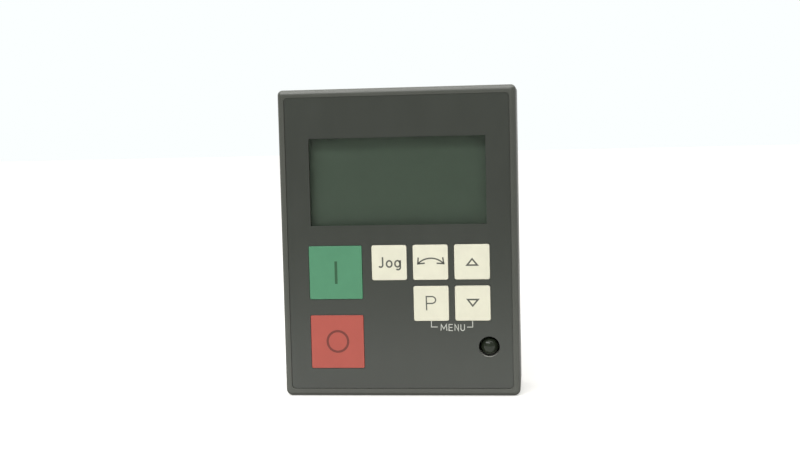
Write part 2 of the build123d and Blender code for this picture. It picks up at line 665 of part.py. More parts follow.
def microcontroller():
    x, z, side, thick = CONTROLLER
    return chip(x, z, side, side, thick)


def microcontroller_leads():
    x, z, side, thick = CONTROLLER
    rows = leads(x, z, side / 2, 11, 1.0, thick, False) + leads(x, z, side / 2, 11, 1.0, thick, True)
    return group(rows)


def program_memory():
    x, z, width, height, thick = MEMORY
    return chip(x, z, width, height, thick)


def program_memory_leads():
    x, z, _, height, thick = MEMORY
    return group(leads(x, z, height / 2, 10, 1.27, thick, True))


def line_transceivers():
    width, height, thick = TRANSCEIVER_SIZE
    return group(chip(x, z, width, height, thick) for x, z in TRANSCEIVERS)


def line_transceiver_leads():
    width, _, thick = TRANSCEIVER_SIZE
    return group(leg for x, z in TRANSCEIVERS for leg in leads(x, z, width / 2, 6, 1.27, thick, False))


def crystal():
    x, z = CRYSTAL
    can = slab(rounded(11.0, 4.6, 2.2, x, z), BOARD_BACK_Y + 0.1, BOARD_BACK_Y + 3.6)
    rim = slab(rounded(12.2, 5.2, 2.5, x, z), BOARD_BACK_Y + 0.1, BOARD_BACK_Y + 0.6)
    return fillet(edges_at(can, BOARD_BACK_Y + 3.6), 0.4) + rim


CAPACITORS = [(-23.5, 64.0), (-23.5, 56.0), (23.5, 60.0)]


def smoothing_capacitors():
    cans = []
    for x, z in CAPACITORS:
        can = rod(x, z, 3.1, BOARD_BACK_Y + 1.0, BOARD_BACK_Y + 5.6)
        can = fillet(edges_at(can, BOARD_BACK_Y + 5.6), 0.5)
        ring = rod(x, z, 4, BOARD_BACK_Y + 1.7, BOARD_BACK_Y + 2.1)
        cans.append(can - (ring - rod(x, z, 2.85, BOARD_BACK_Y, BOARD_BACK_Y + 4)))
    return group(cans)


def capacitor_bases():
    bases = []
    for x, z in CAPACITORS:
        base = block_at(x, z, 6.6, 6.6, BOARD_BACK_Y, BOARD_BACK_Y + 1.0)
        corners = base.edges().filter_by(Axis.Y).sort_by(Axis.Z)[-2:]
        bases.append(chamfer(corners, 1.2))
    return group(bases)


def voltage_regulator():
    x, z = REGULATOR
    y0 = BOARD_BACK_Y + 0.1
    body = block_at(x, z, 6.5, 6.0, y0, y0 + 2.2)
    tab = block_at(x, z + 3.7, 5.2, 1.6, y0, y0 + 0.6)
    return chamfer(body.edges().filter_by(Axis.Y), 0.3) + tab


def chip_parts(places, width, height, thick):
    """Small two-ended parts soldered to the back of the board."""
    y0 = BOARD_BACK_Y + 0.02
    return group(block_at(x, z, width, height, y0, y0 + thick) for x, z in places)


def chip_resistors():
    row = [(-24.0 + 3.2 * i, 10.0) for i in range(8)] + [(6.0 + 3.2 * i, 10.0) for i in range(7)]
    return chip_parts(row + [(-28.5, 20.0 + 3.2 * i) for i in range(3)], 2.0, 1.25, 0.55)


def chip_capacitors():
    near_chips = [(-20.5, 22.0), (-20.5, 26.0), (-20.5, 30.0), (3.0, 38.0), (3.0, 42.0), (28.0, 41.0)]
    return chip_parts(near_chips + [(-9.0, 51.6), (-14.0, 51.6), (8.0, 50.0)], 2.0, 1.25, 0.9)


# ---------------------------------------------------------------- status lamp
LAMP_TIP_Y = POCKET_Y - LAMP_PROUD
LAMP_BASE_Y = LAMP_TIP_Y + LAMP_LEN


def status_lamp():
    dome_y = LAMP_TIP_Y + LAMP_R
    lens = rod(LAMP_X, LAMP_Z, LAMP_R, dome_y, LAMP_BASE_Y)
    lens += Pos(LAMP_X, dome_y, LAMP_Z) * Sphere(LAMP_R)
    lens += rod(LAMP_X, LAMP_Z, LAMP_RIM_R, LAMP_BASE_Y - LAMP_RIM_T, LAMP_BASE_Y)
    lens -= block_at(LAMP_X + LAMP_R + 1, LAMP_Z, 2, 8, LAMP_BASE_Y - LAMP_RIM_T, LAMP_BASE_Y)
    slot = LAMP_LEAD_W + 0.1
    for x, z in LAMP_LEADS:
        lens -= block_at(x, z, slot, slot, LAMP_BASE_Y - 3.0, LAMP_BASE_Y)
    return lens


def lamp_leads():
    top_y, tail_y = LAMP_BASE_Y - 2.9, BOARD_BACK_Y + 1.0
    return group(block_at(x, z, LAMP_LEAD_W, LAMP_LEAD_W, top_y, tail_y) for x, z in LAMP_LEADS)


def lamp_spacer():
    body = rod(LAMP_X, LAMP_Z, 2.6, LAMP_BASE_Y, BOARD_Y)
    for x, z in LAMP_LEADS:
        body -= rod(x, z, 0.45, LAMP_BASE_Y, BOARD_Y)
    return body


# ---------------------------------------------------------------- drive connector
def connector_shell():
    flange_y, mouth_y = BACK_INNER_Y - FLANGE_T, BACK_INNER_Y + PLUG_SHELL_REACH
    flange = slab(rounded(PLUG_FLANGE_W, PLUG_FLANGE_H, 1.0, 0, PLUG_Z), flange_y, BACK_INNER_Y)
    collar = slab(d_outline(), flange_y, mouth_y)
    body = flange + fillet(edges_at(collar, mouth_y), 0.35)
    body -= slab(d_outline(-SHELL_T), flange_y - 0.5, mouth_y)
    for x, z in JACKS:
        body -= rod(x, z, JACK_STUD_R + 0.12, BACK_INNER_Y - 1, BACK_INNER_Y + 1)
    return body


def connector_insulator():
    flange_y = BACK_INNER_Y - FLANGE_T
    front = slab(d_outline(-SHELL_T - 0.02), flange_y, BACK_INNER_Y + PLUG_SHELL_REACH - 0.3)
    back = slab(rounded(19.0, 10.4, 0.8, 0, PLUG_Z), BOARD_BACK_Y + 1.0, flange_y)
    body = front + back
    for x, z in contact_places():
        body -= rod(x, z, CONTACT_R + 0.07, BOARD_BACK_Y, BACK_Y + 10)
    return body


def connector_contacts():
    """Socket contacts: a bored barrel behind the mating face and a thin tail through the board."""
    made = []
    mouth_y = BACK_INNER_Y + PLUG_SHELL_REACH - 0.8
    for x, z in contact_places():
        barrel = rod(x, z, CONTACT_R, BOARD_BACK_Y + 1.2, mouth_y)
        barrel -= rod(x, z, CONTACT_BORE_R, mouth_y - 4.5, mouth_y)
        made.append(barrel + rod(x, z, CONTACT_TAIL_R, BOARD_Y - 0.7, BOARD_BACK_Y + 1.3))
    return group(made)


def connector_standoffs():
    """Hexagonal posts between the board and the connector's flange."""
    posts = []
    for x, z in JACKS:
        hexagon = Pos(x, z) * RegularPolygon(JACK_ACROSS_FLATS / 2, 6, major_radius=False)
        post = slab(hexagon, BOARD_BACK_Y, BACK_INNER_Y - FLANGE_T)
        posts.append(post - rod(x, z, JACK_STUD_R, BACK_INNER_Y - 5.5, BACK_INNER_Y))
    return group(posts)


def connector_jackscrews():
    """Hexagonal screws that clamp the connector, each threaded inside for a plug's screw."""
    made = []
    for x, z in JACKS:
        hexagon = Pos(x, z) * RegularPolygon(JACK_ACROSS_FLATS / 2, 6, major_radius=False)
        post = slab(hexagon, BACK_INNER_Y, BACK_Y + BACK_REACH)
        post = chamfer(edges_at(post, BACK_Y + BACK_REACH), 0.35)
        post += rod(x, z, JACK_STUD_R - 0.02, BACK_INNER_Y - 5.0, BACK_INNER_Y)
        made.append(post - rod(x, z, JACK_HOLE_R, BACK_Y + 0.6, BACK_Y + BACK_REACH))
    return group(made)


# ---------------------------------------------------------------- release catch
def release_catch():
    """A sprung slide with a thumb pad in the top wall and a hook that points up."""
    y1 = CATCH_Y + CATCH_T
    half_w = CATCH_W / 2
    body = block(-half_w, half_w, CATCH_Y, y1, CATCH_FOOT_Z, CATCH_TOP_Z)
    body += block(-half_w, half_w, BOARD_BACK_Y + 1.2, y1, CATCH_TOP_Z - 2.4, CATCH_TOP_Z)
    body = chamfer(body.edges().filter_by(Axis.Y).sort_by(Axis.Z)[:2], 1.0)
    for i in range(4):
        groove_y = BOARD_BACK_Y + 2.2 + 1.3 * i
        body -= block(-half_w + 1, half_w - 1, groove_y, groove_y + 0.5, CATCH_TOP_Z - 0.4, CATCH_TOP_Z)
    tip_y = BACK_Y + HOOK_REACH
    low, high = CATCH_HOOK_Z, CATCH_HOOK_Z + HOOK_T
    profile = make_face(
        Polyline(
            [
                (y1 - 1, low),
                (y1 - 1, high),
                (tip_y - 2.0, high),
                (tip_y - 2.0, high + HOOK_LIP),
                (tip_y - 1.4, high + HOOK_LIP),
                (tip_y, high),
                (tip_y, low + 0.6),
                (tip_y - 0.6, low),
            ],
            close=True,
        )
    )
    body += Pos(-CATCH_HOOK_W / 2, 0, 0) * extrude(Plane.YZ * profile, amount=CATCH_HOOK_W)
    spring_y = CATCH_Y + CATCH_T / 2
    return body + Pos(0, spring_y, CATCH_FOOT_Z - 1.2) * Cylinder(SPRING_PEG_R, 2.4)


def catch_spring():
    length = CATCH_FOOT_Z - SPRING_FOOT_Z - 2 * SPRING_WIRE_R - 0.1
    helix = Helix(length / SPRING_TURNS, length, SPRING_R)
    wire = Plane(origin=helix @ 0, z_dir=helix % 0) * Circle(SPRING_WIRE_R)
    coil = sweep(wire, path=helix, is_frenet=True)
    spring_y = CATCH_Y + CATCH_T / 2
    return Pos(0, spring_y, SPRING_FOOT_Z + SPRING_WIRE_R + 0.05) * coil


# ---------------------------------------------------------------- fasteners
def case_screws():
    return group(
        screw(x, z, CASE_SEAT_Y, 13.5, CASE_SCREW_R, CASE_HEAD_R, 2.0, 1.1) for x, z in CASE_SCREWS
    )


def board_screws():
    return group(screw(x, z, BOARD_BACK_Y, 7.5, BOARD_SCREW_R, 2.3, 1.7, 0.9) for x, z in BOARD_SCREWS)


def lcd_screws():
    return group(screw(x, z, LCD_BOARD_BACK_Y, 6.5, LCD_SCREW_R, 1.8, 1.3, 0.8) for x, z in LCD_SCREWS)


# ---------------------------------------------------------------- write every node
def all_nodes():
    places = [(x, z) for x, z, _, _ in KEYS.values()]
    nodes = {
        "front_housing": front_housing(),
        "rear_cover": rear_cover(),
        "rating_label": rating_label(),
        "overlay_foil": overlay_foil(),
        "display_window": display_window(),
        "switch_bases": group(switch_base(x, z) for x, z in places),
        "switch_covers": group(switch_cover(x, z) for x, z in places),
        "switch_domes": group(switch_dome(x, z) for x, z in places),
        "switch_terminals": group(leg for x, z in places for leg in switch_terminals(x, z)),
        "lcd_frame": lcd_frame(),
        "lcd_polarizer": lcd_polarizer(),
        "lcd_glass": lcd_glass(),
        "lcd_backlight": lcd_backlight(),
        "lcd_contact_strips": lcd_contact_strips(),
        "lcd_board": lcd_board(),
        "lcd_driver_blobs": lcd_driver_blobs(),
        "lcd_screws": lcd_screws(),
        "display_header": display_header(),
        "display_header_pins": display_header_pins(),
        "main_board": main_board(),
        "microcontroller": microcontroller(),
        "microcontroller_leads": microcontroller_leads(),
        "program_memory": program_memory(),
        "program_memory_leads": program_memory_leads(),
        "line_transceivers": line_transceivers(),
        "line_transceiver_leads": line_transceiver_leads(),
        "crystal": crystal(),
        "smoothing_capacitors": smoothing_capacitors(),
        "capacitor_bases": capacitor_bases(),
        "voltage_regulator": voltage_regulator(),
        "chip_resistors": chip_resistors(),
        "chip_capacitors": chip_capacitors(),
        "status_lamp": status_lamp(),
        "lamp_leads": lamp_leads(),
        "lamp_spacer": lamp_spacer(),
        "connector_shell": connector_shell(),
        "connector_insulator": connector_insulator(),
        "connector_contacts": connector_contacts(),
        "connector_standoffs": connector_standoffs(),
        "connector_jackscrews": connector_jackscrews(),
        "release_catch": release_catch(),
        "catch_spring": catch_spring(),
        "case_screws": case_screws(),
        "board_screws": board_screws(),
    }
    for name in KEYS:
        nodes[f"{name}_key"] = key_cap(name)
        nodes[f"{name}_switch_stem"] = switch_stem(name)
    return nodes


def main():
    os.makedirs("parts", exist_ok=True)
    for name, shape in all_nodes().items():
        export_step(shape, f"parts/{name}.step")


main()
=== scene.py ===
"""The look of the operator panel: materials, printed legends, springs, camera and light."""

import json
import math

import bmesh
import bpy
from mathutils import Matrix, Vector


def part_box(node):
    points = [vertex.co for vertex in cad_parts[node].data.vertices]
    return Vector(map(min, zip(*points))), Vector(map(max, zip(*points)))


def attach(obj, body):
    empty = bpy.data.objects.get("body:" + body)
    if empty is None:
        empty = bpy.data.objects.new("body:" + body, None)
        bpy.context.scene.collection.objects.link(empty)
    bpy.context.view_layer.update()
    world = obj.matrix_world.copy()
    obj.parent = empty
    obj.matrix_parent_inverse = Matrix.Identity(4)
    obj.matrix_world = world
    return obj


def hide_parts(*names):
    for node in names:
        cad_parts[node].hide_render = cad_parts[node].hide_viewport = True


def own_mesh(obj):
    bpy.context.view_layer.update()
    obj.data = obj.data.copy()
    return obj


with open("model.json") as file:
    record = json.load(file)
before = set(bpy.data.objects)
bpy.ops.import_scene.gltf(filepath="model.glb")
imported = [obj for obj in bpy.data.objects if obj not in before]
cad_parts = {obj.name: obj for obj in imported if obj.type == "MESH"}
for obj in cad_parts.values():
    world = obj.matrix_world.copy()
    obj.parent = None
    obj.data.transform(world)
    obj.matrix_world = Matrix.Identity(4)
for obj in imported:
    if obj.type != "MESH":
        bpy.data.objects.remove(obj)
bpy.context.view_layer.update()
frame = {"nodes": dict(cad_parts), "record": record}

MM = 0.001

# ---------------------------------------------------------------- places, read from the frame
PANEL_LOW, PANEL_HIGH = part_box("front_housing")
FOIL_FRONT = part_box("overlay_foil")[0].y
PANEL_HEIGHT = PANEL_HIGH.z
KEYS = ("run", "stop", "jog", "reverse", "up", "program", "down")


def key_face(name):
    """The centre of a key's front face. The flange behind is wider by the same amount all round."""
    low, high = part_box(f"{name}_key")
    return Vector(((low.x + high.x) / 2, low.y, (low.z + high.z) / 2))


# ---------------------------------------------------------------- camera
# Fitted to the panel's outline and its key grid in the photo. Angles are in degrees.
CAMERA_X = 42.9 * MM
CAMERA_Z = 81.8 * MM
CAMERA_DISTANCE = 363.8 * MM  # in front of the foil
CAMERA_YAW = 6.63
CAMERA_PITCH = 4.48
CAMERA_ROLL = -1.36
CAMERA_LENS = 54.06  # millimetres, as Blender states it
CAMERA_SENSOR = 36.0


def make_camera():
    """The photo's view, from above the panel's middle and a little to its right."""
    data = bpy.data.cameras.new("camera")
    data.lens = CAMERA_LENS
    data.sensor_width = CAMERA_SENSOR
    data.clip_start = 0.01
    data.clip_end = 50.0
    camera = bpy.data.objects.new("camera", data)
    bpy.context.scene.collection.objects.link(camera)
    turn = Matrix.Rotation(math.radians(CAMERA_YAW), 4, "Z")
    tilt = Matrix.Rotation(math.radians(90 - CAMERA_PITCH), 4, "X")
    roll = Matrix.Rotation(math.radians(CAMERA_ROLL), 4, "Z")
    place = Matrix.Translation((CAMERA_X, FOIL_FRONT - CAMERA_DISTANCE, CAMERA_Z))
    camera.matrix_world = place @ turn @ tilt @ roll
    bpy.context.scene.camera = camera


# ---------------------------------------------------------------- node helpers
class Surface:
    """A material with one Principled shader, and the few node patterns that this object needs."""

    def __init__(self, name, colour, roughness, metallic=0.0, specular=0.5):
        self.material = bpy.data.materials.new(name)
        self.material.use_nodes = True
        self.tree = self.material.node_tree
        self.shader = self.tree.nodes["Principled BSDF"]
        self.output = self.tree.nodes["Material Output"]
        self.colour = colour
        self.set("Base Color", (*colour, 1.0))
        self.set("Roughness", roughness)
        self.set("Metallic", metallic)
        self.set("Specular IOR Level", specular)
        self.coordinates = self.add("ShaderNodeTexCoord").outputs["Object"]
        self.heights = []

    def set(self, socket, value):
        self.shader.inputs[socket].default_value = value

    def add(self, kind, **settings):
        made = self.tree.nodes.new(kind)
        for name, value in settings.items():
            setattr(made, name, value)
        return made

    def link(self, source, target):
        self.tree.links.new(source, target)

    def stretched(self, x=1.0, y=1.0, z=1.0):
        """Object coordinates stretched along the axes, so that a pattern can run in lines."""
        mapping = self.add("ShaderNodeMapping")
        mapping.inputs["Scale"].default_value = (x, y, z)
        self.link(self.coordinates, mapping.inputs["Vector"])
        return mapping.outputs["Vector"]

    def noise(self, size, detail=2.0, rough=0.5, vector=None):
        """Noise with features of about this size, in metres; a number from 0 to 1."""
        made = self.add("ShaderNodeTexNoise")
        made.inputs["Scale"].default_value = 1.0 / size
        made.inputs["Detail"].default_value = detail
        made.inputs["Roughness"].default_value = rough
        self.link(vector or self.coordinates, made.inputs["Vector"])
        return made.outputs["Fac"]

    def cells(self, size):
        """The distance to the middle of the nearest of many small, packed cells."""
        made = self.add("ShaderNodeTexVoronoi")
        made.inputs["Scale"].default_value = 1.0 / size
        self.link(self.coordinates, made.inputs["Vector"])
        return made.outputs["Distance"]

    def spread(self, value, low, high, from_low=0.3, from_high=0.7):
        """Maps a value onto a range, with a clamp. Noise lies mostly between 0.3 and 0.7."""
        made = self.add("ShaderNodeMapRange")
        made.inputs["From Min"].default_value = from_low
        made.inputs["From Max"].default_value = from_high
        made.inputs["To Min"].default_value = low
        made.inputs["To Max"].default_value = high
        self.link(value, made.inputs["Value"])
        return made.outputs["Result"]

    def math(self, operation, first, second):
        """Arithmetic on two values, each a number or a socket."""
        made = self.add("ShaderNodeMath", operation=operation)
        for socket, value in zip(made.inputs, (first, second)):
            if isinstance(value, (int, float)):
                socket.default_value = value
            else:
                self.link(value, socket)
        return made.outputs["Value"]

    def blend(self, factor, first, second):
        """A colour between two, each a colour or a socket."""
        made = self.add("ShaderNodeMix", data_type="RGBA")
        self.link(factor, made.inputs["Factor"])
        for socket, value in ((made.inputs[6], first), (made.inputs[7], second)):
            if isinstance(value, tuple):
                socket.default_value = (*value, 1.0)
            else:
                self.link(value, socket)
        return made.outputs[2]

    def shade(self, amount):
        """The material's own colour, darker or lighter by a factor."""
        return tuple(min(1.0, c * amount) for c in self.colour)

    def edges(self, radius):
        """About 1 on convex edges and 0 on flat faces."""
        rounded = self.add("ShaderNodeBevel", samples=6)
        rounded.inputs["Radius"].default_value = radius
        geometry = self.add("ShaderNodeNewGeometry")
        dot = self.add("ShaderNodeVectorMath", operation="DOT_PRODUCT")
        self.link(rounded.outputs["Normal"], dot.inputs[0])
        self.link(geometry.outputs["Normal"], dot.inputs[1])
        return self.spread(dot.outputs["Value"], 1.0, 0.0, from_low=0.75, from_high=0.98)

    def upward(self):
        """0 on faces that look sideways or down, rising to 1 on faces that look up."""
        normal = self.add("ShaderNodeSeparateXYZ")
        self.link(self.add("ShaderNodeNewGeometry").outputs["Normal"], normal.inputs["Vector"])
        return self.spread(normal.outputs["Z"], 0.0, 1.0, from_low=0.25, from_high=0.9)

    def around(self, centre, radius):
        """1 within a radius of the line through centre along Y, and 0 outside it."""
        offset = self.add("ShaderNodeVectorMath", operation="SUBTRACT")
        self.link(self.coordinates, offset.inputs[0])
        offset.inputs[1].default_value = centre
        flat = self.add("ShaderNodeVectorMath", operation="MULTIPLY")
        self.link(offset.outputs["Vector"], flat.inputs[0])
        flat.inputs[1].default_value = (1.0, 0.0, 1.0)
        length = self.add("ShaderNodeVectorMath", operation="LENGTH")
        self.link(flat.outputs["Vector"], length.inputs[0])
        return self.spread(length.outputs["Value"], 1.0, 0.0, from_low=radius, from_high=radius * 1.02)

    def relief(self, height, depth):
        """Adds a height, in metres at full value, to the surface's bump."""
        self.heights.append((height, depth))

    def finish(self):
        """Chains the bumps into the shader's normal."""
        normal = None
        for height, depth in self.heights:
            bump = self.add("ShaderNodeBump")
            bump.inputs["Distance"].default_value = depth
            self.link(height, bump.inputs["Height"])
            if normal is not None:
                self.link(normal, bump.inputs["Normal"])
            normal = bump.outputs["Normal"]
        if normal is not None:
            self.link(normal, self.shader.inputs["Normal"])
        return self.material


# ---------------------------------------------------------------- materials
# Partly dust and partly painted light from above, laid on upward faces.
TOP_LIGHT_AND_DUST_COLOUR = (0.36, 0.36, 0.33)
# Painted light on the upward wall of the lamp's hole, as if the light from above caught it.
HOLE_LIGHT_COLOUR = (0.62, 0.62, 0.57)
LAMP_LOW, LAMP_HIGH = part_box("status_lamp")
LAMP_HOLE_R = 3.2 * MM
HOLE_LIGHT_R = LAMP_HOLE_R + 0.3 * MM  # past the hole's wall
MOULD_GRAIN_DEPTH = 0.008 * MM
DRAWN_LINE_DEPTH = 0.0015 * MM


def moulded_plastic(name, colour, roughness, grain=0.35 * MM, wear=1.25, dust=0.0):
    """Spark-eroded mould texture, faint flow mottling, smoother, paler edges, and paler grey on upward
    faces.

    The upward grey, set by dust, is partly dust and partly painted light from above. In the lamp's hole
    the upward wall is painted paler still: painted light where the hole's lower wall catches the light.
    """
    skin = Surface(name, colour, roughness)
    flow = skin.noise(9 * MM, 3.0)
    speck = skin.noise(0.22 * MM, 2.0)
    mottled = skin.blend(skin.spread(flow, 0.0, 1.0), skin.shade(0.94), skin.shade(1.05))
    grained = skin.blend(skin.spread(speck, 0.0, 0.35), mottled, skin.shade(1.16))
    worn = skin.edges(0.35 * MM)
    patchy = skin.math("MULTIPLY", worn, skin.spread(skin.noise(2.2 * MM, 3.0), 0.15, 0.75))
    tone = skin.blend(patchy, grained, skin.shade(wear))
    if dust:
        # Paler grey on upward faces: partly dust, partly painted light from above.
        patches = skin.spread(skin.noise(0.9 * MM, 4.0, 0.7), dust * 0.7, dust)
        upward = skin.upward()
        tone = skin.blend(skin.math("MULTIPLY", upward, patches), tone, TOP_LIGHT_AND_DUST_COLOUR)
        # Painted light: the upward wall of the lamp's hole is made paler still.
        hole = skin.around((LAMP_LOW + LAMP_HIGH) / 2, HOLE_LIGHT_R)
        tone = skin.blend(skin.math("MULTIPLY", upward, hole), tone, HOLE_LIGHT_COLOUR)
    skin.link(tone, skin.shader.inputs["Base Color"])
    smear = skin.spread(skin.noise(14 * MM, 4.0, 0.6), roughness - 0.05, roughness + 0.06)
    smoothed = skin.math("SUBTRACT", smear, skin.math("MULTIPLY", worn, 0.08))
    skin.link(smoothed, skin.shader.inputs["Roughness"])
    skin.relief(skin.cells(grain), MOULD_GRAIN_DEPTH)
    skin.relief(skin.noise(grain * 0.45, 2.0), MOULD_GRAIN_DEPTH * 0.6)
    return skin.finish()


def printed_foil(name, colour):
    """Screen-printed polyester: a fine, even matt grain, a faint orange peel and faint rubbing marks."""
    foil = Surface(name, colour, 0.32)
    grain = foil.noise(0.12 * MM, 2.0)
    wide = foil.noise(16 * MM, 2.0)
    even = foil.blend(foil.spread(wide, 0.0, 1.0), foil.shade(0.96), foil.shade(1.04))
    speckled = foil.blend(foil.spread(grain, 0.0, 0.30), even, foil.shade(1.18))
    foil.link(speckled, foil.shader.inputs["Base Color"])
    rubbed = foil.noise(5 * MM, 4.0, 0.65, foil.stretched(1.0, 1.0, 0.25))
    foil.link(foil.spread(rubbed, 0.28, 0.36), foil.shader.inputs["Roughness"])
    foil.relief(grain, 0.004 * MM)
    foil.relief(foil.noise(1.6 * MM, 1.0), 0.004 * MM)
    return foil.finish()


def key_plastic(name, colour):
    """Smooth satin caps with a faint mottling, a little darker along their edges."""
    cap = Surface(name, colour, 0.45, specular=0.4)
    cloud = cap.noise(4 * MM, 3.0)
    speck = cap.noise(0.16 * MM, 2.0)
    even = cap.blend(cap.spread(cloud, 0.0, 1.0), cap.shade(0.96), cap.shade(1.03))
    fine = cap.blend(cap.spread(speck, 0.0, 0.3), even, cap.shade(0.90))
    rim = cap.math("MULTIPLY", cap.edges(0.2 * MM), cap.spread(cap.noise(1.5 * MM, 3.0), 0.1, 0.5))
    cap.link(cap.blend(rim, fine, cap.shade(0.8)), cap.shader.inputs["Base Color"])
    cap.link(cap.spread(cap.noise(3 * MM, 4.0), 0.38, 0.50), cap.shader.inputs["Roughness"])
    cap.relief(cap.noise(0.14 * MM, 2.0), 0.003 * MM)
    cap.relief(cap.noise(2.5 * MM, 1.0), 0.006 * MM)
    return cap.finish()


def printing_ink(name, colour):
    """A thin layer of ink with slightly uneven cover."""
    ink = Surface(name, colour, 0.5)
    cover = ink.noise(0.25 * MM, 3.0)
    tone = ink.blend(ink.spread(cover, 0.0, 1.0), ink.shade(0.9), ink.shade(1.12))
    ink.link(tone, ink.shader.inputs["Base Color"])
    ink.link(ink.spread(ink.noise(0.5 * MM, 2.0), 0.44, 0.58), ink.shader.inputs["Roughness"])
    ink.relief(ink.noise(0.1 * MM, 2.0), 0.003 * MM)
    return ink.finish()


def plated_metal(name, colour, roughness, line):
    """Plated or drawn metal: fine dark lines along the axis that line shrinks, over cloudy patches."""
    metal = Surface(name, colour, roughness, metallic=1.0)
    lines = metal.noise(0.3 * MM, 4.0, 0.6, metal.stretched(*line))
    cloud = metal.noise(1.8 * MM, 4.0, 0.6)
    tone = metal.blend(metal.spread(cloud, 0.0, 1.0), metal.shade(0.84), metal.shade(1.06))
    lined = metal.blend(metal.spread(lines, 0.0, 0.25), tone, metal.shade(0.7))
    metal.link(lined, metal.shader.inputs["Base Color"])
    uneven = metal.spread(cloud, roughness * 0.75, roughness * 1.35)
    metal.link(uneven, metal.shader.inputs["Roughness"])
    metal.relief(lines, DRAWN_LINE_DEPTH)
    return metal.finish()


def clear_pane(name):
    """A flat acrylic pane: it lets the display through, and a faint film of dust lies on it."""
    pane = Surface(name, (1.0, 1.0, 1.0), 0.06)
    dust = pane.noise(0.5 * MM, 3.0, 0.7)
    pane.link(pane.spread(pane.noise(6 * MM, 4.0), 0.04, 0.10), pane.shader.inputs["Roughness"])
    pane.relief(pane.noise(7 * MM, 1.0), 0.004 * MM)
    pane.set("Base Color", (0.30, 0.32, 0.28, 1.0))
    through = pane.add("ShaderNodeBsdfTransparent")
    through.inputs["Color"].default_value = (0.93, 0.95, 0.92, 1.0)
    fresnel = pane.add("ShaderNodeFresnel")
    fresnel.inputs["IOR"].default_value = 1.38
    film = pane.spread(dust, 0.0, 0.02, from_low=0.45, from_high=0.8)
    cover = pane.math("ADD", fresnel.outputs["Fac"], film)
    mix = pane.add("ShaderNodeMixShader")
    pane.link(cover, mix.inputs["Fac"])
    pane.link(through.outputs["BSDF"], mix.inputs[1])
    pane.link(pane.shader.outputs["BSDF"], mix.inputs[2])
    pane.link(mix.outputs["Shader"], pane.output.inputs["Surface"])
    return pane.finish()


def display_film(name, colour):
    """The display's grey-green face, switched off: a fine anti-glare grain and slow clouding."""
    film = Surface(name, colour, 0.38, specular=0.15)
    cloud = film.noise(18 * MM, 2.0)
    grain = film.noise(0.10 * MM, 2.0)
    tone = film.blend(film.spread(cloud, 0.0, 1.0), film.shade(0.94), film.shade(1.06))
    grained = film.blend(film.spread(grain, 0.0, 0.2), tone, film.shade(1.10))
    film.link(grained, film.shader.inputs["Base Color"])
    film.link(film.spread(grain, 0.32, 0.46), film.shader.inputs["Roughness"])
    film.relief(grain, 0.002 * MM)
    return film.finish()


def display_glass(name, colour):
    """The glass of the display's cell, slightly uneven in tone and gloss."""
    glass = Surface(name, colour, 0.12)
    cloud = glass.noise(2 * MM, 3.0)
    tone = glass.blend(glass.spread(cloud, 0.0, 1.0), glass.shade(0.85), glass.shade(1.1))
    glass.link(tone, glass.shader.inputs["Base Color"])
    glass.link(glass.spread(cloud, 0.08, 0.2), glass.shader.inputs["Roughness"])
    return glass.finish()


def lamp_lens(name, colour):
    """A tinted epoxy lens, with flow lines and a slightly uneven surface."""
    lens = Surface(name, colour, 0.06, specular=0.20)
    flow = lens.noise(1.2 * MM, 3.0)
    tone = lens.blend(lens.spread(flow, 0.0, 1.0), lens.shade(0.8), lens.shade(1.2))
    lens.link(tone, lens.shader.inputs["Base Color"])
    lens.link(lens.spread(flow, 0.05, 0.08), lens.shader.inputs["Roughness"])
    lens.relief(lens.noise(0.8 * MM, 1.0), 0.006 * MM)
    return lens.finish()


def circuit_board(name, colour):
    """Solder mask over copper tracks, with the weave of the glass just showing."""
    board = Surface(name, colour, 0.28)
    tracks = board.add("ShaderNodeTexBrick")
    tracks.inputs["Scale"].default_value = 1.0
    tracks.inputs["Brick Width"].default_value = 9 * MM
    tracks.inputs["Row Height"].default_value = 1.27 * MM
    tracks.inputs["Mortar Size"].default_value = 0.22 * MM
    tracks.inputs["Color1"].default_value = (*board.shade(1.0), 1.0)
    tracks.inputs["Color2"].default_value = (*board.shade(1.15), 1.0)
    tracks.inputs["Mortar"].default_value = (*board.shade(1.9), 1.0)
    turned = board.add("ShaderNodeMapping")
    turned.inputs["Rotation"].default_value = (math.radians(90), 0.0, 0.0)
    board.link(board.coordinates, turned.inputs["Vector"])
    board.link(turned.outputs["Vector"], tracks.inputs["Vector"])
    stain = board.spread(board.noise(5 * MM, 4.0), 0.0, 0.5)
    stained = board.blend(stain, tracks.outputs["Color"], board.shade(0.75))
    board.link(stained, board.shader.inputs["Base Color"])
    board.link(board.spread(board.noise(3 * MM, 3.0), 0.2, 0.38), board.shader.inputs["Roughness"])
    board.relief(tracks.outputs["Fac"], 0.02 * MM)
    return board.finish()


def striped_rubber(name, colour):
    """A connector strip of carbon-filled and clear silicone in thin layers."""
    strip = Surface(name, colour, 0.5)
    stripes = strip.add("ShaderNodeTexWave", wave_type="BANDS", bands_direction="X")
    stripes.inputs["Scale"].default_value = 1.0 / (6 * MM)
    strip.link(strip.coordinates, stripes.inputs["Vector"])
    layers = strip.blend(stripes.outputs["Fac"], strip.shade(0.2), strip.shade(1.6))
    strip.link(layers, strip.shader.inputs["Base Color"])
    strip.link(strip.spread(strip.noise(0.5 * MM), 0.4, 0.6), strip.shader.inputs["Roughness"])
    strip.relief(stripes.outputs["Fac"], 0.01 * MM)
    return strip.finish()


def paper_label(name, colour):
    """A matt film label with faint fibres."""
    label = Surface(name, colour, 0.55)
    fibres = label.noise(0.4 * MM, 4.0, 0.7, label.stretched(0.35, 1.0, 1.0))
    soil = label.noise(7 * MM, 4.0)
    tone = label.blend(label.spread(soil, 0.0, 1.0), label.shade(0.93), label.shade(1.02))
    marked = label.blend(label.spread(fibres, 0.0, 0.3), tone, label.shade(0.88))
    label.link(marked, label.shader.inputs["Base Color"])
    label.link(label.spread(soil, 0.48, 0.62), label.shader.inputs["Roughness"])
    label.relief(fibres, 0.003 * MM)
    return label.finish()


